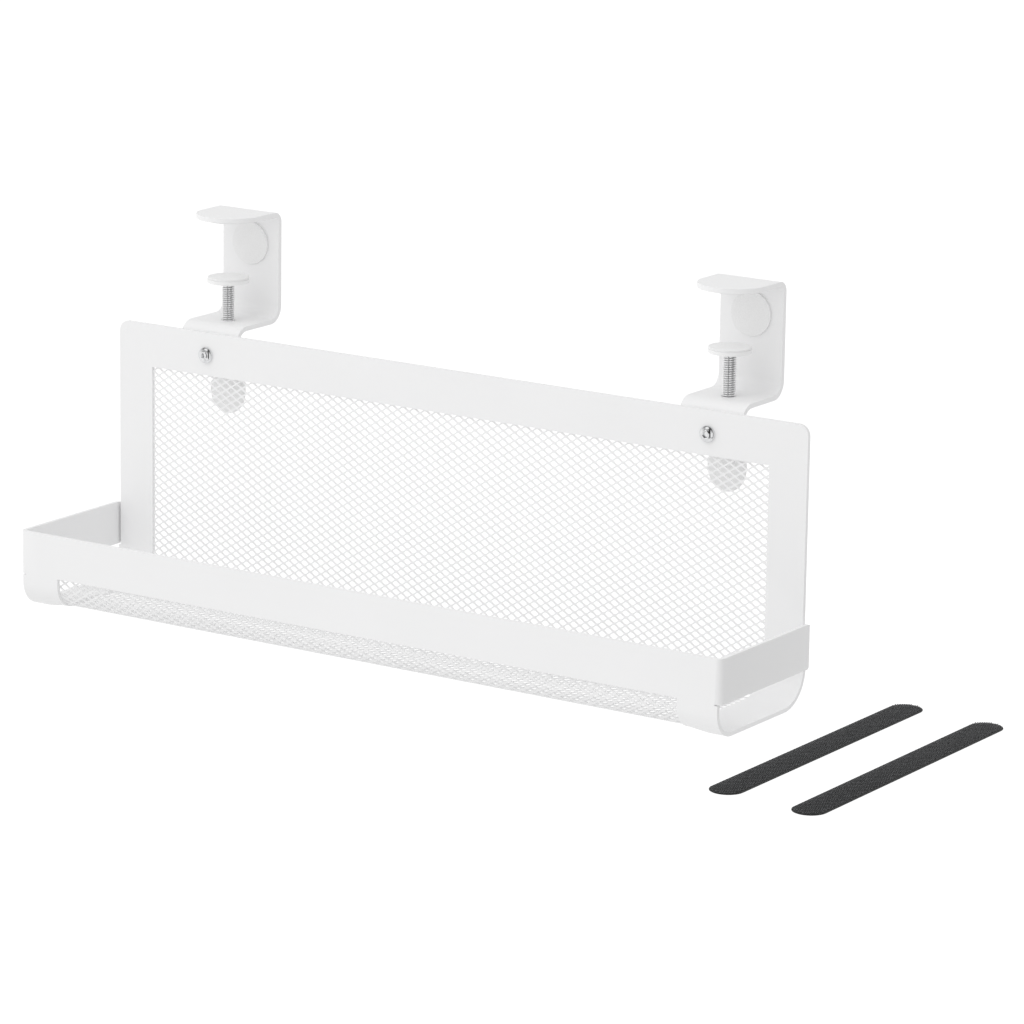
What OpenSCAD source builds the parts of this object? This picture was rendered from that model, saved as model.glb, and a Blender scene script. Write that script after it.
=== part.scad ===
// Under-desk mesh drawer tray with two screw clamps and two hook-and-loop straps.
// The origin is where the desk's top surface meets its rear edge, midway between the clamps.
// X runs along the tray, Y away from its open front, Z up. The tray hangs below the desk board.

/* [Tray] */
// Width of the back panel
tray_w = 370; // [250:1:600]
// Depth from the back panel's front face to the front wall's front face
tray_d = 71; // [50:1:140]
// Height of the back panel
panel_h = 123; // [80:1:200]
// Height of the front wall
front_h = 36; // [25:1:80]
// Sheet thickness with its coating
sheet_t = 1.8; // [1:0.1:3]
// Height of the plain border above the mesh, on the back panel and on the front wall
border = 20; // [10:1:40]
// Width of the plain border at each end of the mesh
side_border = 18.9; // [10:0.1:40]
// How far the bottom and the front wall stand out past the back panel at each end
wing = 1; // [0:0.1:2]
// Outside radius of the bend between back panel and bottom
rear_bend_r = 17; // [6:0.5:30]
// Outside radius of the bend between bottom and front wall
front_bend_r = 12; // [4:0.5:20]
// Radius of the back panel's top corners
corner_r = 5; // [1:0.5:15]

/* [Ears] */
// Height of the ear that joins the front wall to the back panel at each end
ear_h = 20; // [10:1:40]
// How far an ear stands outside the back panel's edge
ear_out = 2.7; // [2.5:0.1:6]
// Outside radius of an ear's bends
ear_bend_r = 3; // [2.5:0.1:6]
// Length of the tab that an ear turns in behind the back panel
ear_tab = 14; // [8:1:25]
// Radius of an ear's rear corners
ear_corner_r = 4; // [1:0.5:8]

/* [Mesh] */
// Thickness of the mesh sheet
mesh_t = 0.8; // [0.6:0.1:2]
// From the frame's outer face to the middle of the mesh, at the bottom and front
mesh_in = 1.9; // [0.6:0.1:2]

/* [Clamps] */
// Distance between the two clamps
clamp_pitch = 270; // [150:1:500]
// Width of a clamp bracket
clamp_w = 32; // [20:0.5:50]
// Thickness of a clamp bracket
clamp_t = 2.2; // [1.5:0.1:4]
// Top of the bracket above the tray's underside
clamp_top = 176.1; // [140:0.1:260]
// Upper face of the bracket's lower arm above the tray's underside
arm_top = 126.4; // [100:0.1:200]
// From the back panel's front face to the front of the bracket's upright
upright_y = 34.4; // [25:0.1:60]
// From the back panel's front face to the screw axis
screw_y = 17; // [10:0.1:30]
// From the back panel's front face to the centre of the tongue's round end
tongue_y = 19; // [10:0.1:40]
// Outside radius of the lower bends
arm_bend_r = 8; // [4:0.5:12]
// Outside radius of the bend at the tongue
tongue_bend_r = 5; // [3:0.5:8]
// Length of the bracket's leg behind the back panel
leg_h = 19; // [12:1:30]

/* [Pads] */
// Diameter of the anti-scratch pads
pad_d = 20; // [10:0.5:28]
// Thickness of the anti-scratch pads
pad_t = 1; // [0.5:0.1:3]
// Height of the upright's pad centre above the tray's underside
upright_pad_z = 160; // [140:0.5:165]

/* [Clamp screws] */
// Thread diameter
screw_d = 6; // [5:1:8]
// Thread pitch
screw_pitch = 1; // [0.8:0.05:1.25]
// Top of the right press pad above the tray's underside
press_z_right = 148.3; // [140:0.1:158]
// Top of the left press pad above the tray's underside
press_z_left = 146.8; // [140:0.1:158]
// Knob width
knob_w = 19; // [16:0.5:26]
// Knob thickness
knob_t = 3.5; // [3:0.5:10]

/* [Fixings] */
// Thread diameter of the screw that fixes each bracket
fix_d = 4; // [3:0.5:6]
// Height of that screw above the tray's underside
fix_z = 112.6; // [106:0.1:118]

/* [Straps] */
// Strap length
strap_l = 162; // [100:1:300]
// Strap width
strap_w = 15; // [10:0.5:25]
// Strap thickness
strap_t = 1; // [0.6:0.1:3]

/* [Hidden] */
$fn = 96;
white = [0.93, 0.93, 0.93];
shade = [0.88, 0.88, 0.88];
zinc = [0.72, 0.72, 0.74];
black = [0.05, 0.05, 0.05];
base = [0, pad_t - upright_y, clamp_t + pad_t - clamp_top]; // the tray's underside, at the panel's face
clamp_x = clamp_pitch / 2;
wall_y = -tray_d;
ear_x = tray_w / 2 + ear_out;
win_x = tray_w / 2 - side_border;
win_top = panel_h - border;
slot_top = front_h - border;
ear_z = front_h - ear_h;
leg_y = sheet_t;
fit = 0.05;       // radial play of a turning or sliding fit
thread_h = 0.5;   // depth drawn for the clamp screw's thread
cup_t = 1.7;      // press cup's plate
hub_h = 0.4;      // press cup's boss below its plate
hub_r = 3.6;
relief = 0.5;     // cut below each ear's fold
journal_r = 2;    // screw's turned end inside the press cup
rivet_r = 2.8;    // its spread end, which holds the cup
rivet_t = 0.5;
nut_h = 5;        // weld nut
nut_af = 10;
knob_top = 40.3;  // knob's upper end below the press pad's top
knob_h = 24;
screw_end = 50;   // screw's lower end below the press pad's top
strap_x = [225.5, 267];
strap_y = [-53.8, -58.4];

// Which part to draw, or all

// Sheet profile in (y, z): back panel, rear bend, bottom, front bend and front wall,
// between the distances a and b inside its outer face.
module band_2d(a, b, back = 0) {
    difference() {
        outline_2d(a, panel_h, back);
        outline_2d(b, panel_h + 1, back);
        translate([wall_y - 1, front_h]) square([tray_d - 1, panel_h]);
    }
}

// Area inside the sheet's outer face, moved inwards by a, up to the height top.
// Its rear bend and upright side are moved back by back.
module outline_2d(a, top, back = 0) {
    y0 = wall_y + a;
    y1 = sheet_t - a;
    rf = front_bend_r - a;
    rr = rear_bend_r - a;
    translate([wall_y + front_bend_r, front_bend_r]) circle(rf);
    translate([sheet_t - rear_bend_r + back, rear_bend_r]) circle(rr);
    translate([wall_y + front_bend_r, a])
        square([tray_d + sheet_t - front_bend_r - rear_bend_r + back, top - a]);
    translate([y0, front_bend_r]) square([rf, top - front_bend_r]);
    translate([sheet_t - rear_bend_r + back, rear_bend_r])
        square([y1 - sheet_t + rear_bend_r, top - rear_bend_r]);
}

// Extrudes a (y, z) profile along X between x0 and x1.
module along_x(x0, x1) {
    translate([x0, 0, 0]) rotate([90, 0, 90]) linear_extrude(x1 - x0) children();
}

// Extrudes an (x, y) profile upwards between z0 and z1.
module upwards(z0, z1) {
    translate([0, 0, z0]) linear_extrude(z1 - z0) children();
}

// Quarter of a bent strip in its own plane, centre at the origin, in the +x +y quadrant.
module quarter_2d(r, t) {
    intersection() {
        difference() {
            circle(r);
            circle(r - t);
        }
        square(r + 1);
    }
}

// Where the mesh shows: from the panel's upper border to the front wall's.
module window(x) {
    translate([-x, wall_y + front_bend_r, -1]) cube([2 * x, tray_d, win_top + 1]);
    translate([-x, wall_y - 1, -1]) cube([2 * x, front_bend_r + 2, slot_top + 1]);
}

// Right ear as a flat strip's path in (x, y): fold, side, rear bend and tab.
module ear_2d() {
    r = ear_bend_r;
    tab_y = sheet_t + sheet_t;
    translate([tray_w / 2 - 4, wall_y]) square([ear_x - r - tray_w / 2 + 4, sheet_t]);
    translate([ear_x - r, wall_y + r]) mirror([0, 1]) quarter_2d(r, sheet_t);
    translate([ear_x - sheet_t, wall_y + r]) square([sheet_t, tray_d + tab_y - 2 * r]);
    translate([ear_x - r, tab_y - r]) quarter_2d(r, sheet_t);
    translate([ear_x - r - ear_tab, sheet_t]) square([ear_tab, sheet_t]);
}

module tray_frame() color(white) translate(base) {
    difference() {
        union() {
            along_x(-tray_w / 2, tray_w / 2) band_2d(0, sheet_t);
            intersection() {
                along_x(-tray_w / 2 - wing, tray_w / 2 + wing) band_2d(0, sheet_t);
                translate([-tray_w, wall_y - 1, -1]) cube([2 * tray_w, tray_d + 10, ear_z - relief + 1]);
            }
        }
        for (s = [-1, 1]) {
            corner_cut(s);
            translate([s * clamp_x, 3, fix_z]) rotate([90, 0, 0]) cylinder(r = fix_d / 2 + 0.25, h = 6);
            translate([s * (tray_w / 2 + 0.4) - 1, wall_y - 1, ear_z - relief])
                cube([2, sheet_t + 2, relief]);
        }
        window(win_x);
    }
    intersection() {
        along_x(-tray_w, tray_w) ear_side_2d();
        union() {
            upwards(ear_z, front_h) ear_2d();
            upwards(ear_z, front_h) mirror([1, 0]) ear_2d();
        }
    }
}

// An ear's side view in (y, z), with its rear corners rounded.
module ear_side_2d() {
    r = ear_corner_r;
    end = 2 * sheet_t;
    translate([wall_y - 1, ear_z]) square([tray_d + end - r + 1, ear_h]);
    translate([end - r - 1, ear_z + r]) square([r + 1, ear_h - 2 * r]);
    for (z = [ear_z + r, front_h - r]) translate([end - r, z]) circle(r);
}

// Cuts the panel's top corner on side s, leaving its round.
module corner_cut(s) {
    translate([s * (tray_w / 2 - corner_r), -1, panel_h - corner_r]) rotate([90, 0, 0])
        translate([0, 0, -4]) linear_extrude(4) difference() {
            translate([s > 0 ? 0 : -corner_r - 1, 0]) square(corner_r + 1);
            circle(corner_r);
        }
}

module tray_mesh() color(shade) translate(base) {
    inset = mesh_in - mesh_t / 2;
    intersection() {
        along_x(-win_x, win_x) band_2d(inset, inset + mesh_t, mesh_in - sheet_t / 2);
        window(win_x + 1);
    }
}

// Bracket's side view in (y, z): tongue, upright, lower arm and leg.
module bracket_2d() {
    t = clamp_t;
    r = arm_bend_r;
    q = tongue_bend_r;
    back = upright_y + t;
    arm_low = arm_top - t;
    translate([tongue_y - clamp_w, clamp_top - t]) square([back - q - tongue_y + clamp_w, t]);
    translate([back - q, clamp_top - q]) quarter_2d(q, t);
    translate([upright_y, arm_low + r]) square([t, clamp_top - q - arm_low - r]);
    translate([back - r, arm_low + r]) mirror([0, 1]) quarter_2d(r, t);
    translate([leg_y + r, arm_low]) square([back - leg_y - 2 * r, t]);
    translate([leg_y + r, arm_top - r]) mirror([1, 0]) quarter_2d(r, t);
    translate([leg_y, panel_h - leg_h]) square([t, arm_top - r - panel_h + leg_h]);
}

// The same bracket seen from above: square at the back, round at the tongue.
module bracket_plan_2d() {
    translate([-clamp_w / 2, tongue_y]) square([clamp_w, upright_y]);
    translate([0, tongue_y]) circle(clamp_w / 2);
}

module bracket(s) color(white) translate(base) translate([s * clamp_x, 0, 0]) {
    difference() {
        intersection() {
            along_x(-clamp_w / 2, clamp_w / 2) bracket_2d();
            union() {
                upwards(arm_top + arm_bend_r + 10, clamp_top + 1) bracket_plan_2d();
                translate([-clamp_w, -1, 0]) cube([2 * clamp_w, 2 * upright_y, arm_top + arm_bend_r + 10]);
            }
        }
        translate([0, screw_y, arm_top - clamp_t - 1]) cylinder(r = screw_d / 2 + 0.15, h = clamp_t + 2);
        translate([0, leg_y + clamp_t + 1, fix_z]) rotate([90, 0, 0])
            cylinder(r = fix_d / 2 + 0.15, h = clamp_t + 2);
        for (k = [-1, 1]) translate([k * (clamp_w / 2 - 4), leg_y - 1, panel_h - leg_h + 4]) leg_corner(k);
    }
}

// Rounds the leg's lower corner on side k.
module leg_corner(k) {
    rotate([90, 0, 0]) translate([0, 0, -clamp_t - 2]) linear_extrude(clamp_t + 2) difference() {
        translate([k > 0 ? 0 : -5, -5]) square(5);
        circle(4);
    }
}

module tongue_pad(s) color(shade)
    translate(base) translate([s * clamp_x, screw_y, clamp_top - clamp_t - pad_t])
        cylinder(d = pad_d, h = pad_t);

module upright_pad(s) color(shade)
    translate(base) translate([s * clamp_x, upright_y, upright_pad_z]) rotate([90, 0, 0])
        cylinder(d = pad_d, h = pad_t);

module weld_nut(s) color(zinc)
    translate(base) translate([s * clamp_x, screw_y, arm_top - clamp_t - nut_h]) difference() {
        intersection() {
            cylinder(r = nut_af / sqrt(3), h = nut_h, $fn = 6);
            union() {
                translate([0, 0, 0.6]) cylinder(r = nut_af / sqrt(3) + 0.1, h = nut_h);
                cylinder(r1 = nut_af / 2, r2 = nut_af / sqrt(3) + 0.1, h = 0.6);
            }
        }
        translate([0, 0, -1]) cylinder(r = screw_d / 2 + fit, h = nut_h + 2);
    }

// Places a turning or pressing part of side s: z = 0 is the top of its press pad.
module at_press(s) {
    z = s > 0 ? press_z_right : press_z_left;
    translate(base) translate([s * clamp_x, screw_y, z]) children();
}

module press_pad(s) color(shade) at_press(s) translate([0, 0, -pad_t]) cylinder(d = pad_d - 1, h = pad_t);

module press_cup(s) color(white) at_press(s) translate([0, 0, -pad_t - cup_t]) difference() {
    union() {
        cylinder(d = pad_d - 0.6, h = cup_t);
        translate([0, 0, -hub_h]) cylinder(r = hub_r, h = hub_h + 0.5);
    }
    translate([0, 0, -hub_h - 1]) cylinder(r = journal_r + fit, h = hub_h + cup_t + 2);
    translate([0, 0, cup_t - rivet_t - 0.3]) cylinder(r = rivet_r + 0.3, h = rivet_t + 1);
}

// Clamp screw as one turned shape: tip, ringed thread, journal and spread end.
module clamp_screw(s) color(zinc) at_press(s) {
    top = -pad_t - 0.15;
    shoulder = -pad_t - cup_t - hub_h - 0.1;
    r = screw_d / 2;
    rings = floor((screw_end + shoulder - 2) / screw_pitch);
    rotate_extrude() polygon(concat(
        [[0, top], [rivet_r, top], [rivet_r, top - rivet_t], [journal_r, top - rivet_t],
         [journal_r, shoulder], [r - thread_h, shoulder]],
        [for (i = [0:rings - 1], p = [0.25, 0.75])
            [r - (p < 0.5 ? 0 : thread_h), shoulder - (i + p) * screw_pitch]],
        [[r - thread_h, -screw_end], [0, -screw_end]]));
}

// Flat thumb paddle with a round hub, pressed on the screw's lower end.
module knob(s) color(white) at_press(s) translate([0, 0, -knob_top - knob_h]) difference() {
    union() {
        rotate([90, 0, 0]) translate([0, 0, -knob_t / 2]) linear_extrude(knob_t) paddle_2d();
        translate([0, 0, knob_h - 13]) cylinder(r = 5.2, h = 13);
    }
    translate([0, 0, knob_h + knob_top - screw_end]) cylinder(r = screw_d / 2, h = screw_end);
}

// Paddle's outline in (x, z), its rounded lower edge at z = 0.
module paddle_2d() {
    w = knob_w / 2;
    hull() {
        for (k = [-1, 1]) {
            translate([k * (w - 4), 13]) circle(4);
            translate([k * (w - 5.5), 5.5]) circle(5);
        }
        translate([0, 5.5]) circle(5.5);
        translate([-5.2, 19]) square([10.4, 1]);
    }
}

// Places a fixing at both brackets, its axis towards the panel's front.
module both() for (s = [-1, 1])
    translate(base) translate([s * clamp_x, 0, fix_z]) rotate([90, 0, 0]) children();

// Button-head screw seen along its axis: its head rests on the panel's front face.
module fixing_screws() color(zinc) both() {
    r = fix_d * 0.95;
    h = fix_d * 0.55;
    difference() {
        rotate_extrude() polygon(concat([[0, 0], [r, 0], [r, 0.3]],
            [for (a = [10:10:60]) [r * cos(a) + 0.06, 0.3 + (h - 0.3) * sin(a) / sin(60)]], [[0, h]]));
        translate([0, 0, h - 1.3]) cylinder(d = 2.5 / cos(30), h = 2, $fn = 6);
    }
    translate([0, 0, -8]) cylinder(d = fix_d - 0.1, h = 8);
}

module fixing_washers() color(zinc) both() translate([0, 0, -leg_y - clamp_t - 0.8]) difference() {
    cylinder(d = 9, h = 0.8);
    translate([0, 0, -1]) cylinder(d = fix_d + 0.3, h = 3);
}

module fixing_nuts() color(zinc) both() translate([0, 0, -leg_y - clamp_t - 4]) difference() {
    cylinder(r = 7 / sqrt(3), h = 3.2, $fn = 6);
    translate([0, 0, -1]) cylinder(d = fix_d, h = 6);
}

// Hook-and-loop strap with rounded ends, lying on the plane of the tray's underside.
module strap(i) color(black) translate(base) translate([strap_x[i], strap_y[i], 0]) {
    reach = (strap_l - strap_w) / 2;
    translate([-strap_w / 2, -reach, 0]) cube([strap_w, 2 * reach, strap_t]);
    for (k = [-1, 1]) translate([0, k * reach, 0]) cylinder(d = strap_w, h = strap_t);
}

tray_frame();
tray_mesh();
bracket(-1);  // bracket_left
bracket(1);  // bracket_right
tongue_pad(-1);  // tongue_pad_left
tongue_pad(1);  // tongue_pad_right
upright_pad(-1);  // upright_pad_left
upright_pad(1);  // upright_pad_right
weld_nut(-1);  // weld_nut_left
weld_nut(1);  // weld_nut_right
press_pad(-1);  // press_pad_left
press_pad(1);  // press_pad_right
press_cup(-1);  // press_cup_left
press_cup(1);  // press_cup_right
clamp_screw(-1);  // clamp_screw_left
clamp_screw(1);  // clamp_screw_right
knob(-1);  // knob_left
knob(1);  // knob_right
fixing_screws();
fixing_washers();
fixing_nuts();
strap(0);  // strap_inner
strap(1);  // strap_outer
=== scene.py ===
import math

import bmesh
import bpy
from mathutils import Matrix, Vector


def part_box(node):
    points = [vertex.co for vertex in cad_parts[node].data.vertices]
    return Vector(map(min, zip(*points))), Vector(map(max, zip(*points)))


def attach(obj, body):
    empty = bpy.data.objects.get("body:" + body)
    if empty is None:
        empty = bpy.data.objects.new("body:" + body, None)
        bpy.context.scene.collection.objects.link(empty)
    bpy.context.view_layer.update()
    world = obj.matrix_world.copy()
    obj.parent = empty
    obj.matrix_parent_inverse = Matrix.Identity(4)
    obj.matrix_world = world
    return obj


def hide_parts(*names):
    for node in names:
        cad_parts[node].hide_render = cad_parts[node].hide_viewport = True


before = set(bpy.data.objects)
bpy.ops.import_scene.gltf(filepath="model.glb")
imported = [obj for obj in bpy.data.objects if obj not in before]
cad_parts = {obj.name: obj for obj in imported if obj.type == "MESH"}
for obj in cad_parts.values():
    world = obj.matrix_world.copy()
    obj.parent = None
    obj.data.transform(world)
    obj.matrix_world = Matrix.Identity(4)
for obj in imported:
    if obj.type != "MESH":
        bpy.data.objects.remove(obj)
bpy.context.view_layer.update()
MM = 0.001

frame_lo, frame_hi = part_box("tray_frame")
mesh_lo, mesh_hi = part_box("tray_mesh")
SHEET = 1.8 * MM
FACE_Y = frame_hi.y - 2 * SHEET      # the back panel's front face
FLOOR_Z = frame_lo.z                 # the tray's underside


# ---------------------------------------------------------------- camera
def make_camera():
    azimuth, elevation, roll = math.radians(33.49), math.radians(13.62), math.radians(-0.85)
    forward = Vector((-math.sin(azimuth) * math.cos(elevation),
                      math.cos(azimuth) * math.cos(elevation), -math.sin(elevation)))
    right = Vector((math.cos(azimuth), math.sin(azimuth), 0))
    down = forward.cross(right)
    turned_right = math.cos(roll) * right + math.sin(roll) * down
    turned_down = -math.sin(roll) * right + math.cos(roll) * down
    cam = bpy.data.objects.new("camera", bpy.data.cameras.new("camera"))
    bpy.context.scene.collection.objects.link(cam)
    distance = 2.2553                    # from the foot of the back panel's front face, in metres
    # how far that foot is to the right of the picture's middle and below it, as shares of the distance
    across, low = -0.013212, 0.025081
    offset = distance * (across * turned_right + low * turned_down + forward)
    cam.location = Vector((0, FACE_Y, FLOOR_Z)) - offset
    cam.rotation_mode = "QUATERNION"
    cam.rotation_quaternion = Matrix((turned_right, -turned_down, -forward)).transposed().to_quaternion()
    cam.data.sensor_width = 36
    cam.data.lens = 176.22
    cam.data.clip_start, cam.data.clip_end = 0.05, 60
    bpy.context.scene.camera = cam


# ---------------------------------------------------------------- materials
def nodes_of(name):
    mat = bpy.data.materials.new(name)
    mat.use_nodes = True
    tree = mat.node_tree
    shader = next(n for n in tree.nodes if n.type == "BSDF_PRINCIPLED")
    coords = tree.nodes.new("ShaderNodeTexCoord")
    return mat, tree, shader, coords.outputs["Object"]


def noise(tree, coords, scale, detail=3.0, roughness=0.5):
    n = tree.nodes.new("ShaderNodeTexNoise")
    n.inputs["Scale"].default_value = scale
    n.inputs["Detail"].default_value = detail
    n.inputs["Roughness"].default_value = roughness
    tree.links.new(coords, n.inputs["Vector"])
    return n.outputs["Fac"]


def spread(tree, value, low, high, start=0.3, end=0.7):
    """A number between low and high, following value."""
    n = tree.nodes.new("ShaderNodeMapRange")
    for key, v in (("From Min", start), ("From Max", end), ("To Min", low), ("To Max", high)):
        n.inputs[key].default_value = v
    tree.links.new(value, n.inputs["Value"])
    return n.outputs["Result"]


def tint(tree, value, low, high, start=0.3, end=0.7):
    """A colour between low and high, following value."""
    n = tree.nodes.new("ShaderNodeValToRGB")
    n.color_ramp.elements[0].position, n.color_ramp.elements[1].position = start, end
    n.color_ramp.elements[0].color, n.color_ramp.elements[1].color = (*low, 1), (*high, 1)
    tree.links.new(value, n.inputs["Fac"])
    return n.outputs["Color"]


def bump(tree, shader, height, distance, strength):
    n = tree.nodes.new("ShaderNodeBump")
    n.inputs["Distance"].default_value = distance
    n.inputs["Strength"].default_value = strength
    tree.links.new(height, n.inputs["Height"])
    tree.links.new(n.outputs["Normal"], shader.inputs["Normal"])


def powder_coat(name, shade):
    """Satin powder coat: a fine orange-peel skin, with slow changes in gloss."""
    mat, tree, shader, at = nodes_of(name)
    peel = noise(tree, at, 900, 2.0, 0.55)
    slow = noise(tree, at, 22, 3.0)
    tree.links.new(tint(tree, slow, [c * 0.985 for c in shade], shade), shader.inputs["Base Color"])
    tree.links.new(spread(tree, slow, 0.42, 0.5), shader.inputs["Roughness"])
    bump(tree, shader, peel, 0.00004, 0.5)
    return mat


def moulded(name, shade):
    """Satin moulded plastic with a very fine spark-eroded grain."""
    mat, tree, shader, at = nodes_of(name)
    grain = noise(tree, at, 2600, 2.0)
    slow = noise(tree, at, 60, 2.0)
    tree.links.new(tint(tree, slow, [c * 0.98 for c in shade], shade), shader.inputs["Base Color"])
    tree.links.new(spread(tree, grain, 0.36, 0.46), shader.inputs["Roughness"])
    bump(tree, shader, grain, 0.00002, 0.4)
    return mat


def foam(name, shade):
    """Closed-cell foam rubber: small open-looking cells on a matt face, with painted shade darkening the
    hollow of each cell.
    """
    mat, tree, shader, at = nodes_of(name)
    cells = tree.nodes.new("ShaderNodeTexVoronoi")
    cells.inputs["Scale"].default_value = 2400
    tree.links.new(at, cells.inputs["Vector"])
    # painted shade: each cell is coloured darker towards its hollow centre
    tree.links.new(tint(tree, cells.outputs["Distance"], [c * 0.93 for c in shade], shade, 0.1, 0.6),
                   shader.inputs["Base Color"])
    tree.links.new(spread(tree, cells.outputs["Distance"], 0.7, 0.85), shader.inputs["Roughness"])
    bump(tree, shader, cells.outputs["Distance"], 0.00006, 0.5)
    return mat


def plated(name, shade, rough_low, rough_high):
    """Bright zinc plate: mirror-like metal with faint clouding and hairline marks."""
    mat, tree, shader, at = nodes_of(name)
    cloud = noise(tree, at, 350, 4.0, 0.6)
    fine = noise(tree, at, 2500, 2.0)
    shader.inputs["Metallic"].default_value = 1.0
    tree.links.new(tint(tree, cloud, [c * 0.9 for c in shade], shade), shader.inputs["Base Color"])
    tree.links.new(spread(tree, cloud, rough_low, rough_high), shader.inputs["Roughness"])
    bump(tree, shader, fine, 0.00001, 0.3)
    return mat


def plated_thread(name, axis, root, crest):
    """Zinc plate on a thread about a vertical axis, with painted shade making it darker in the thread roots.
    """
    mat, tree, shader, at = nodes_of(name)
    shader.inputs["Metallic"].default_value = 0.72
    off = tree.nodes.new("ShaderNodeVectorMath")
    off.operation = "SUBTRACT"
    off.inputs[1].default_value = axis
    tree.links.new(at, off.inputs[0])
    flat = tree.nodes.new("ShaderNodeVectorMath")
    flat.operation = "MULTIPLY"
    flat.inputs[1].default_value = (1, 1, 0)
    tree.links.new(off.outputs["Vector"], flat.inputs[0])
    out = tree.nodes.new("ShaderNodeVectorMath")
    out.operation = "LENGTH"
    tree.links.new(flat.outputs["Vector"], out.inputs[0])
    depth = spread(tree, out.outputs["Value"], 0.0, 1.0, root, crest)
    # painted shade: the colour darkens from the crests into the thread roots, where shade falls
    painted_root_shade, crest_colour = (0.62, 0.62, 0.625), (0.95, 0.95, 0.955)
    tree.links.new(tint(tree, depth, painted_root_shade, crest_colour, 0.2, 0.8), shader.inputs["Base Color"])
    cloud = noise(tree, at, 350, 4.0, 0.6)
    tree.links.new(spread(tree, cloud, 0.12, 0.24), shader.inputs["Roughness"])
    return mat


def woven_tape(name):
    """Black nylon tape: warp ribs along Y crossed by weft picks, with painted shade darkening the sunk parts
    of the weave.
    """
    mat, tree, shader, at = nodes_of(name)
    wave_period = 0.314                  # of a wave texture at scale 1, in metres
    ribs = []
    for axis, period in (("X", 0.0005), ("Y", 0.0004)):
        w = tree.nodes.new("ShaderNodeTexWave")
        w.wave_type, w.bands_direction = "BANDS", axis
        w.inputs["Scale"].default_value = wave_period / period
        w.inputs["Distortion"].default_value = 0.3
        tree.links.new(at, w.inputs["Vector"])
        ribs.append(w.outputs["Fac"])
    weave = tree.nodes.new("ShaderNodeMath")
    weave.operation = "MULTIPLY"
    tree.links.new(ribs[0], weave.inputs[0])
    tree.links.new(ribs[1], weave.inputs[1])
    # painted shade: the sunk parts of the weave are coloured darker than the raised ones
    sunk, raised = (0.002, 0.002, 0.0024), (0.009, 0.009, 0.01)
    tree.links.new(tint(tree, weave.outputs[0], sunk, raised, 0.0, 0.8), shader.inputs["Base Color"])
    tree.links.new(spread(tree, weave.outputs[0], 0.7, 0.55, 0.0, 1.0), shader.inputs["Roughness"])
    shader.inputs["Sheen Weight"].default_value = 0.15
    bump(tree, shader, weave.outputs[0], 0.00012, 0.8)
    return mat


def filament(name):
    """Black nylon hooks with a soft gloss."""
    mat, tree, shader, at = nodes_of(name)
    uneven = noise(tree, at, 700, 2.0)
    dark, light = (0.08, 0.082, 0.087), (0.17, 0.174, 0.183)
    tree.links.new(tint(tree, uneven, dark, light), shader.inputs["Base Color"])
    tree.links.new(spread(tree, uneven, 0.32, 0.5), shader.inputs["Roughness"])
    return mat


# ---------------------------------------------------------------- mesh helpers
def place(name, bm, body, replaced, material, smooth_deg=35):
    mesh = bpy.data.meshes.new(name)
    bmesh.ops.recalc_face_normals(bm, faces=bm.faces)
    bm.to_mesh(mesh)
    bm.free()
    obj = bpy.data.objects.new(name, mesh)
    bpy.context.scene.collection.objects.link(obj)
    obj.data.materials.append(material)
    mesh.shade_smooth()
    mesh.set_sharp_from_angle(angle=math.radians(smooth_deg))
    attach(obj, body)
    if replaced:
        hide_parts(*replaced)
    return obj


def joggle(bm):
    """Lifts the bottom's plain border towards the mesh in one smooth press step."""
    reach, rise, fade = 13 * MM, 1.2 * MM, 12 * MM
    slices = 10
    for k in range(1, slices):
        for x in (mesh_hi.x + reach * k / slices, -mesh_hi.x - reach * k / slices):
            bmesh.ops.bisect_plane(bm, geom=bm.verts[:] + bm.edges[:] + bm.faces[:], dist=1e-7,
                                   plane_co=(x, 0, 0), plane_no=(1, 0, 0))
    for v in bm.verts:
        along = max(0.0, (abs(v.co.x) - mesh_hi.x) / reach)
        up = max(0.0, (v.co.z - FLOOR_Z) / fade)
        if along < 1 and up < 1:
            v.co.z += rise * (1 - along * along * (3 - 2 * along)) * (1 - up)


def soften(node, body, material, width, segments=2, angle=38, shape=None):
    """The CAD node with its sharp edges rounded, as coated, moulded or tumbled edges are."""
    bm = bmesh.new()
    bm.from_mesh(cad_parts[node].data)
    bmesh.ops.remove_doubles(bm, verts=bm.verts, dist=1e-6)
    bmesh.ops.dissolve_limit(bm, angle_limit=math.radians(0.5), verts=bm.verts, edges=bm.edges)
    if shape:
        shape(bm)
    obj = place(node + "_finished", bm, body, [node], material, angle)
    bevel = obj.modifiers.new("edges", "BEVEL")
    bevel.width, bevel.segments = width, segments
    bevel.limit_method, bevel.angle_limit = "ANGLE", math.radians(angle)
    bevel.harden_normals = True
    bevel.use_clamp_overlap = True
    return obj


def skin(bm, rows, closed=True):
    """Faces between rings of equally many points, with the first and last ring filled if closed."""
    for p, q in zip(rows, rows[1:]):
        for i in range(len(p)):
            j = (i + 1) % len(p)
            bm.faces.new((p[i], p[j], q[j], q[i]))
    if closed:
        bm.faces.new(rows[0][::-1])
        bm.faces.new(rows[-1])


def lathe(bm, rings, segments, centre, closed=True):
    """A turned shape: rings of (radius, height) about a vertical axis at centre."""
    rows = []
    for r, z in rings:
        rows.append([bm.verts.new(centre + Vector((r * math.cos(2 * math.pi * i / segments),
                                                   r * math.sin(2 * math.pi * i / segments), z)))
                     for i in range(segments)])
    skin(bm, rows, closed)
    return rows


def hexagon(bm, radius, level, segments):
    """A six-sided ring with as many points as a round one, so that the two can be joined."""
    ring = []
    wedge = math.pi / 3
    for i in range(segments):
        t = 2 * math.pi * i / segments
        flat = math.cos(wedge / 2) / math.cos((t % wedge) - wedge / 2)
        ring.append(bm.verts.new((radius * flat * math.cos(t), radius * flat * math.sin(t), level)))
    return ring


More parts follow.
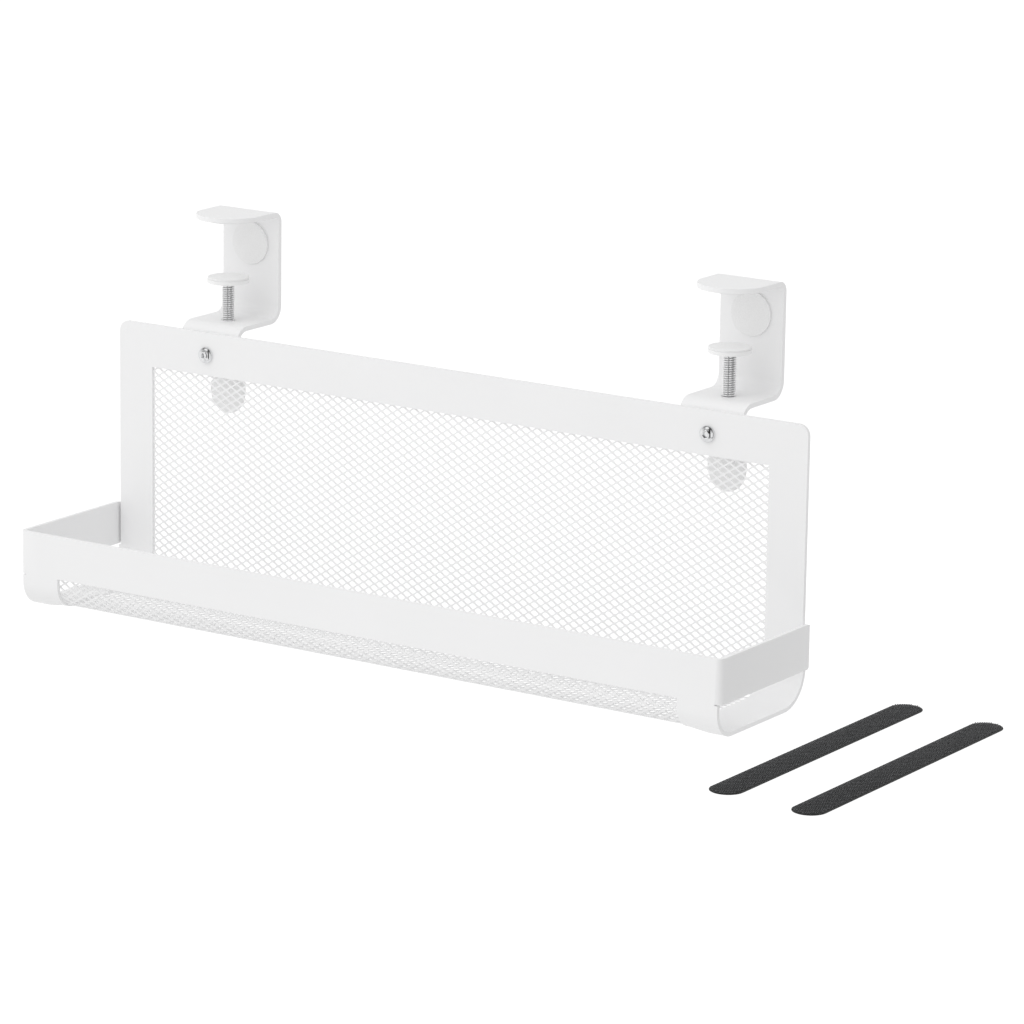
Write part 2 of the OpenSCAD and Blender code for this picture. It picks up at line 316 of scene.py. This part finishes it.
# ---------------------------------------------------------------- diamond mesh
MESH_T = 0.8 * MM
PANEL_TOP = mesh_hi.z - FLOOR_Z
SLOT_TOP = 16 * MM
BACK = mesh_hi.y - MESH_T / 2 - FACE_Y            # the mesh's middle, on the panel
LOW = mesh_lo.z + MESH_T / 2 - FLOOR_Z            # on the bottom
FRONT = mesh_lo.y + MESH_T / 2 - FACE_Y           # on the front wall
REAR_BEND, FRONT_BEND = 17 * MM, 12 * MM          # how high the bends' centres lie
REAR_R, FRONT_R = REAR_BEND - LOW, FRONT_BEND - LOW
SPANS = (PANEL_TOP - LOW - REAR_R, REAR_R * math.pi / 2, BACK - FRONT - REAR_R - FRONT_R,
         FRONT_R * math.pi / 2, SLOT_TOP - LOW - FRONT_R)


def along_profile(s, n):
    """The point (y, z) at s along the mesh's middle from its upper edge, and n towards its outer face."""
    if s <= SPANS[0]:
        return BACK + n, PANEL_TOP - s
    s -= SPANS[0]
    if s <= SPANS[1]:
        a = s / REAR_R
        return BACK - REAR_R + (REAR_R + n) * math.cos(a), LOW + REAR_R - (REAR_R + n) * math.sin(a)
    s -= SPANS[1]
    if s <= SPANS[2]:
        return BACK - REAR_R - s, LOW - n
    s -= SPANS[2]
    if s <= SPANS[3]:
        a = s / FRONT_R
        return FRONT + FRONT_R - (FRONT_R + n) * math.sin(a), LOW + FRONT_R - (FRONT_R + n) * math.cos(a)
    s -= SPANS[3]
    return FRONT - n, LOW + FRONT_R + s


def diamond_mesh(material):
    """Expanded metal: openings in staggered rows, with strands that tilt between them."""
    long_way, short_way = 6.0 * MM, 3.75 * MM
    half_w = mesh_hi.x
    length = sum(SPANS)
    thick, tilt = 0.5 * MM, 0.1 * MM
    strand = 1.15 * MM
    a = long_way / 2 - 0.8 * MM            # half of an opening's length
    e = 0.4 * MM                           # half of its flat top
    b = short_way / 2 - strand / 2 * 1.05  # half of its height
    # an opening's corners: along X, along the sheet, and which way the tilt moves them
    corners = ((-a, 0.0, 0), (-e, b, 1), (e, b, 1), (a, 0.0, 0), (e, -b, -1), (-e, -b, -1))
    columns = int(half_w * 2 / long_way) + 2
    rows = int(length / short_way) + 2
    bm = bmesh.new()
    rims = {}
    for j in range(-1, 2 * rows + 1):
        for i in range(-1, columns + 1):
            x = -half_w + (i + 0.5 * (j % 2)) * long_way
            s = j * short_way / 2
            rim = []
            for cx, cs, side in corners:
                pair = []
                for face in (1, -1):
                    pair.append(bm.verts.new((x + cx, s + cs, face * thick / 2 + side * tilt)))
                rim.append(pair)
            rims[i, j] = rim
            for p, q in zip(rim, rim[1:] + rim[:1]):
                bm.faces.new((p[0], q[0], q[1], p[1]))
    for (i, j), rim in rims.items():
        odd = j % 2
        right = rims.get((i + odd, j + 1))       # opening half a step right and half a step on
        left = rims.get((i + odd - 1, j + 1))
        if right:
            for f in (0, 1):
                bm.faces.new([v[f] for v in (rim[2], rim[3], right[5], right[0])])
        if left:
            for f in (0, 1):
                bm.faces.new([v[f] for v in (rim[0], rim[1], left[3], left[4])])
        beside = rims.get((i + 1, j))
        above, below = rims.get((i + odd, j + 1)), rims.get((i + odd, j - 1))
        if beside and above and below:
            for f in (0, 1):
                bm.faces.new([v[f] for v in (rim[3], above[5], above[4], beside[0], below[2], below[1])])
    # trimmed to the sheet's edges, with the cut strands closed
    for axis, at, keep in ((0, -half_w, 1), (0, half_w, -1), (1, 0, 1), (1, length, -1)):
        point, normal = [0, 0, 0], [0, 0, 0]
        point[axis], normal[axis] = at, -keep
        cut = bmesh.ops.bisect_plane(bm, geom=bm.verts[:] + bm.edges[:] + bm.faces[:], dist=1e-7,
                                     plane_co=point, plane_no=normal, clear_outer=True)
        edges = [g for g in cut["geom_cut"] if isinstance(g, bmesh.types.BMEdge) and g.is_valid]
        bmesh.ops.holes_fill(bm, edges=edges, sides=0)
    loose = [v for v in bm.verts if not v.link_faces]
    bmesh.ops.delete(bm, geom=loose, context="VERTS")
    for v in bm.verts:
        y, z = along_profile(v.co.y, v.co.z)
        v.co = Vector((v.co.x, FACE_Y + y, FLOOR_Z + z))
    return place("tray_mesh_diamonds", bm, "tray", ["tray_mesh"], material, 30)


# ---------------------------------------------------------------- clamp screw, knob and button head
def threaded_screw(side, material):
    """The M6 screw with a real helical thread, from its end inside the knob up to its journal."""
    lo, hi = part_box("clamp_screw_" + side)
    axis = Vector(((lo.x + hi.x) / 2, (lo.y + hi.y) / 2, 0))
    pitch, seg = 1.0 * MM, 40
    # one turn of the thread: share of the pitch, and radius in mm
    profile = ((0.0, 2.46), (0.14, 2.5), (0.42, 2.97), (0.56, 3.0), (0.7, 2.97))
    n = len(profile)
    journal_l, journal_r = 2.05 * MM, 2.0 * MM
    shoulder = hi.z - journal_l
    bottom, top = lo.z + 0.3 * MM, shoulder + 0.2 * MM
    turns = int((top - bottom) / pitch) - 1
    bm = bmesh.new()
    grid = {}
    for j in range(turns * n + 1):
        share, r = profile[j % n]
        for i in range(seg):
            angle = 2 * math.pi * i / seg
            z = bottom + (j // n + share + i / seg) * pitch
            grid[j, i] = bm.verts.new(axis + Vector((r * MM * math.cos(angle), r * MM * math.sin(angle), z)))
    last = turns * n
    for j in range(last):
        for i in range(seg):
            if i < seg - 1:
                bm.faces.new((grid[j, i], grid[j, i + 1], grid[j + 1, i + 1], grid[j + 1, i]))
            elif j + n + 1 <= last:
                bm.faces.new((grid[j, i], grid[j + n, 0], grid[j + n + 1, 0], grid[j + 1, i]))
    tip = bm.verts.new(axis + Vector((0, 0, lo.z)))
    loop = [grid[0, i] for i in range(seg)] + [grid[k, 0] for k in range(n, -1, -1)]
    for p, q in zip(loop, loop[1:]):
        bm.faces.new((p, q, tip))
    crown = [grid[last, i] for i in range(seg - 1, -1, -1)]
    crown += [grid[k, seg - 1] for k in range(last - n, last + 1)]
    hub = bm.verts.new(axis + Vector((0, 0, shoulder)))
    for p, q in zip(crown, crown[1:]):
        bm.faces.new((p, q, hub))
    lathe(bm, ((journal_r, shoulder - 0.3 * MM), (journal_r, hi.z - 0.5 * MM), (2.7 * MM, hi.z - 0.5 * MM),
               (2.8 * MM, hi.z - 0.35 * MM), (2.6 * MM, hi.z - 0.08 * MM), (2.2 * MM, hi.z)), 32, axis)
    return place("clamp_screw_thread_" + side, bm, "screw_" + side, ["clamp_screw_" + side],
                 material, 40)


def paddle_knob(side, material):
    """The thumb paddle: a flat grip with softly rounded edges under a round hub."""
    lo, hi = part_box("knob_" + side)
    c = Vector(((lo.x + hi.x) / 2, (lo.y + hi.y) / 2, 0))
    half_w, half_t, hub_r = 9.5 * MM, 1.75 * MM, 5.2 * MM
    outline = []
    for k in range(1, 17):                 # round below, then drawn in towards the hub
        a = math.radians(90 * k / 14)
        outline.append((half_w * math.sin(a) ** 0.9, lo.z + 11.5 * MM * (1 - math.cos(a))))
    outline += [(half_w * 0.9, lo.z + 14.6 * MM), (half_w * 0.74, lo.z + 16.2 * MM),
                (hub_r, lo.z + 17.2 * MM)]
    ring = [(0.0, lo.z)] + outline + [(-x, z) for x, z in reversed(outline)]
    bm = bmesh.new()
    # from one flat side to the other: share of the half thickness, and share of the outline's size
    levels = ((-1.0, 0.86), (-0.86, 0.95), (-0.5, 1.0), (0.5, 1.0), (0.86, 0.95), (1.0, 0.86))
    mid_z = lo.z + 9.5 * MM
    rows = []
    for y, k in levels:
        row = []
        for x, z in ring:
            tall = k if z < mid_z else 1.0       # the upper part keeps its height
            row.append(bm.verts.new((c.x + x * k, c.y + half_t * y, mid_z + (z - mid_z) * tall)))
        rows.append(row)
    skin(bm, rows)
    hub_low = hi.z - 12.5 * MM
    lathe(bm, ((3.2 * MM, hub_low), (4.9 * MM, hub_low + 0.8 * MM), (hub_r, hub_low + 2 * MM),
               (hub_r, hi.z - 0.8 * MM), (4.9 * MM, hi.z - 0.2 * MM), (4.4 * MM, hi.z), (3.1 * MM, hi.z)),
          40, c)
    return place("knob_paddle_" + side, bm, "screw_" + side, ["knob_" + side], material, 50)


def button_heads(material):
    """Both M4 button-head screws: domed heads with a six-sided recess, on threaded shanks."""
    lo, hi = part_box("fixing_screws")
    z = (lo.z + hi.z) / 2
    r, h, rim = 3.8 * MM, 2.2 * MM, 0.25 * MM            # the head, and the height of its straight rim
    dome_angle = math.radians(68)
    corner_r = 1.25 * MM / math.cos(math.radians(30))    # of a recess 2.5 mm across its flats
    seg = 48
    bm = bmesh.new()
    for sign in (-1, 1):
        x = sign * (hi.x - r)
        start = len(bm.verts)
        dome = [(r, 0.0), (r, rim)]
        for k in range(1, 9):
            a = math.radians(8.5 * k)
            dome.append((r * math.cos(a), rim + (h - rim) * math.sin(a) / math.sin(dome_angle)))
        dome[-1] = (1.75 * MM, h)
        rows = lathe(bm, dome, seg, Vector((0, 0, 0)), closed=False)
        inner = [rows[-1], hexagon(bm, corner_r * 1.12, h - 0.02 * MM, seg),
                 hexagon(bm, corner_r, h - 0.18 * MM, seg), hexagon(bm, corner_r * 0.98, h - 1.2 * MM, seg)]
        skin(bm, inner, closed=False)
        pit = bm.verts.new((0, 0, h - 1.45 * MM))
        for i in range(seg):
            bm.faces.new((inner[-1][i], inner[-1][(i + 1) % seg], pit))
        bm.faces.new(rows[0][::-1])
        root_r, crest_r, pitch = 1.6 * MM, 1.95 * MM, 0.7 * MM
        shank = [(root_r, 0.05 * MM)]
        level = -0.2 * MM
        while level > -7.6 * MM:
            shank += [(root_r, level), (crest_r, level - 0.3 * MM), (crest_r, level - 0.42 * MM)]
            level -= pitch
        shank += [(root_r, level), (1.2 * MM, -8.0 * MM)]
        lathe(bm, shank[::-1], 24, Vector((0, 0, 0)))
        bm.verts.ensure_lookup_table()
        turn = Matrix.Rotation(math.radians(90), 4, "X") @ Matrix.Rotation(math.radians(17 * sign), 4, "Z")
        for v in bm.verts[start:]:
            v.co = Vector((x, FACE_Y, z)) + turn @ v.co
    return place("fixing_screws_turned", bm, "tray", ["fixing_screws"], material, 32)


# ---------------------------------------------------------------- straps
def strap(which, tape, hooks):
    """A hook-and-loop strap: a woven tape with round ends under rows of small hooks."""
    node, body = "strap_" + which, "strap_" + which
    lo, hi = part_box(node)
    cx, r = (lo.x + hi.x) / 2, (hi.x - lo.x) / 2
    y0, y1 = lo.y + r, hi.y - r
    base_t = 0.5 * MM
    outline = []
    steps = 24
    for first, end_y in ((0.0, y1), (math.pi, y0)):
        for k in range(steps + 1):
            t = first + math.pi * k / steps
            outline.append((cx + r * math.cos(t), end_y + r * math.sin(t)))
    bm = bmesh.new()
    rows = []
    # the tape's rounded edge: how far in, and how high, in mm
    for inset, z in ((0.25, 0.0), (0.06, 0.08), (0.0, 0.25), (0.06, 0.42), (0.25, 0.5)):
        ring = []
        for x, y in outline:
            away = Vector((x - cx, y - min(max(y, y0), y1)))
            away = away.normalized() if away.length > 1e-9 else Vector((0, 0))
            ring.append(bm.verts.new((x - away.x * inset * MM, y - away.y * inset * MM, lo.z + z * MM)))
        rows.append(ring)
    skin(bm, rows)
    ribbon = place(node + "_tape", bm, body, [node], tape, 50)
    bm = bmesh.new()
    step_x, step_y, lag = 0.8 * MM, 2.45 * MM, 0.55 * MM
    count_x = int(r / step_x) + 1
    hook_foot = lo.z + base_t * 0.9                      # sunk a little into the tape
    top = hi.z - lo.z - base_t * 0.9
    # one hook from foot to tip: along X, up, and thickness, as shares
    path = ((0.0, 0.0, 0.7), (0.0, 0.6, 0.8), (0.12, 0.9, 1.0), (0.4, 1.0, 1.0), (0.72, 0.86, 0.75))
    for col in range(-count_x, count_x + 1):
        x = cx + col * step_x
        for row in range(int((hi.y - lo.y) / step_y) + 1):
            y = lo.y + row * step_y + (col * lag) % step_y
            inside = math.hypot(x - cx, y - min(max(y, y0), y1))
            if inside > r - 0.45 * MM:
                continue
            loops = []
            for along, up, k in path:
                px, pz = x + (along - 0.3) * 0.55 * MM, hook_foot + top * up
                loops.append([bm.verts.new((px + sx * 0.13 * MM * k, y + sy * 0.24 * MM * k, pz))
                              for sx, sy in ((-1, -1), (1, -1), (1, 1), (-1, 1))])
            skin(bm, loops)
    pile = place(node + "_hooks", bm, body, [], hooks, 60)
    return ribbon


# ---------------------------------------------------------------- set and light
def studio():
    """White room: soft light from all sides, a little stronger at the left, over a floor that shows white."""
    world = bpy.data.worlds.new("studio")
    bpy.context.scene.world = world
    world.use_nodes = True
    tree = world.node_tree
    sky = tree.nodes["Background"]
    sky.inputs["Color"].default_value = (1, 1, 1, 1)
    coords = tree.nodes.new("ShaderNodeTexCoord")
    parts = tree.nodes.new("ShaderNodeSeparateXYZ")
    tree.links.new(coords.outputs["Generated"], parts.inputs[0])
    strength = []
    for axis, low, high in (("Z", 0.87, 0.94), ("X", 1.08, 0.79), ("Y", 1.05, 0.95)):
        ramp = tree.nodes.new("ShaderNodeMapRange")
        ramp.inputs["From Min"].default_value, ramp.inputs["From Max"].default_value = -0.8, 0.8
        ramp.inputs["To Min"].default_value, ramp.inputs["To Max"].default_value = low, high
        tree.links.new(parts.outputs[axis], ramp.inputs["Value"])
        strength.append(ramp.outputs["Result"])
    for other in strength[1:]:
        times = tree.nodes.new("ShaderNodeMath")
        times.operation = "MULTIPLY"
        tree.links.new(strength[0], times.inputs[0])
        tree.links.new(other, times.inputs[1])
        strength[0] = times.outputs[0]
    # what the bright metal mirrors is darker overhead, so its threads and domes read
    path = tree.nodes.new("ShaderNodeLightPath")
    mirrored = tree.nodes.new("ShaderNodeMapRange")
    for key, v in (("From Min", 0.1), ("From Max", 0.75), ("To Min", 1.0), ("To Max", 0.06)):
        mirrored.inputs[key].default_value = v
    tree.links.new(parts.outputs["Z"], mirrored.inputs["Value"])
    pick = tree.nodes.new("ShaderNodeMix")
    tree.links.new(path.outputs["Is Glossy Ray"], pick.inputs["Factor"])
    tree.links.new(strength[0], pick.inputs["A"])
    tree.links.new(mirrored.outputs["Result"], pick.inputs["B"])
    tree.links.new(pick.outputs["Result"], sky.inputs["Strength"])
    bpy.ops.mesh.primitive_plane_add(size=40, location=(0, 0, FLOOR_Z - 0.0002))
    floor = bpy.context.object
    floor.name = "floor"
    mat, _, shader, _ = nodes_of("floor_white")
    shader.inputs["Base Color"].default_value = (0.1, 0.1, 0.1, 1)
    shader.inputs["Roughness"].default_value = 0.9
    shader.inputs["Specular IOR Level"].default_value = 0.0
    shader.inputs["Emission Color"].default_value = (1, 1, 1, 1)
    shader.inputs["Emission Strength"].default_value = 1.02
    floor.data.materials.append(mat)
    floor.visible_diffuse = floor.visible_glossy = floor.visible_shadow = False
    lamp = bpy.data.lights.new("key", "AREA")
    lamp.shape, lamp.size, lamp.energy = "DISK", 1.6, 6
    key = bpy.data.objects.new("key", lamp)
    bpy.context.scene.collection.objects.link(key)
    key.location = (-0.5, -1.1, 1.7)
    key.rotation_mode = "QUATERNION"
    key.rotation_quaternion = (Vector((0, -0.05, -0.1)) - key.location).to_track_quat("-Z", "Y")
    black, _, shader, _ = nodes_of("flag_black")
    shader.inputs["Base Color"].default_value = (0.004, 0.004, 0.004, 1)
    shader.inputs["Specular IOR Level"].default_value = 0.0
    grey, _, shader, _ = nodes_of("flag_grey")
    shader.inputs["Base Color"].default_value = (0.3, 0.3, 0.3, 1)
    shader.inputs["Specular IOR Level"].default_value = 0.0
    # upright flags, seen only in reflections, give the bright metal its dark and grey streaks
    flag_far, flag_tall = 1.3, 2.4
    for k, (bearing, width, flag_mat) in enumerate(((19, 0.46, black), (92, 1.3, grey))):
        bpy.ops.mesh.primitive_plane_add(size=1)
        flag = bpy.context.object
        flag.name = "flag_%d" % k
        a = math.radians(bearing)
        flag.location = (flag_far * math.sin(a), -flag_far * math.cos(a), 0.0)
        flag.scale = (width, flag_tall, 1)
        flag.rotation_euler = (math.radians(90), 0, a)
        flag.visible_camera = flag.visible_diffuse = flag.visible_shadow = False
        flag.data.materials.append(flag_mat)
    bpy.context.scene.view_settings.view_transform = "Standard"
    bpy.context.scene.view_settings.look = "None"


make_camera()

coat = powder_coat("white_powder_coat", (0.93, 0.93, 0.933))
mesh_coat = powder_coat("mesh_powder_coat", (0.92, 0.92, 0.923))
plastic = moulded("white_plastic", (0.94, 0.94, 0.94))
cushion = foam("pale_foam", (0.91, 0.91, 0.91))
zinc = plated("bright_zinc", (0.86, 0.865, 0.875), 0.12, 0.26)
dull_zinc = plated("zinc_nut", (0.7, 0.71, 0.73), 0.25, 0.42)
tape = woven_tape("black_tape")
hook = filament("black_hooks")

soften("tray_frame", "tray", coat, 0.35 * MM, 2, shape=joggle)
diamond_mesh(mesh_coat)
button_heads(zinc)
soften("fixing_washers", "tray", dull_zinc, 0.1 * MM, 1)
soften("fixing_nuts", "tray", dull_zinc, 0.25 * MM, 1)
for side in ("left", "right"):
    soften("bracket_" + side, "tray", coat, 0.4 * MM, 2)
    soften("tongue_pad_" + side, "tray", cushion, 0.2 * MM, 2)
    soften("upright_pad_" + side, "tray", cushion, 0.2 * MM, 2)
    soften("weld_nut_" + side, "tray", dull_zinc, 0.25 * MM, 1)
    soften("press_pad_" + side, "press_" + side, cushion, 0.2 * MM, 2)
    soften("press_cup_" + side, "press_" + side, plastic, 0.35 * MM, 3)
    lo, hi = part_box("clamp_screw_" + side)
    axis = ((lo.x + hi.x) / 2, (lo.y + hi.y) / 2, 0)
    threaded_screw(side, plated_thread("zinc_thread_" + side, axis, 2.6 * MM, 2.95 * MM))
    paddle_knob(side, plastic)
strap("inner", tape, hook)
strap("outer", tape, hook)

studio()
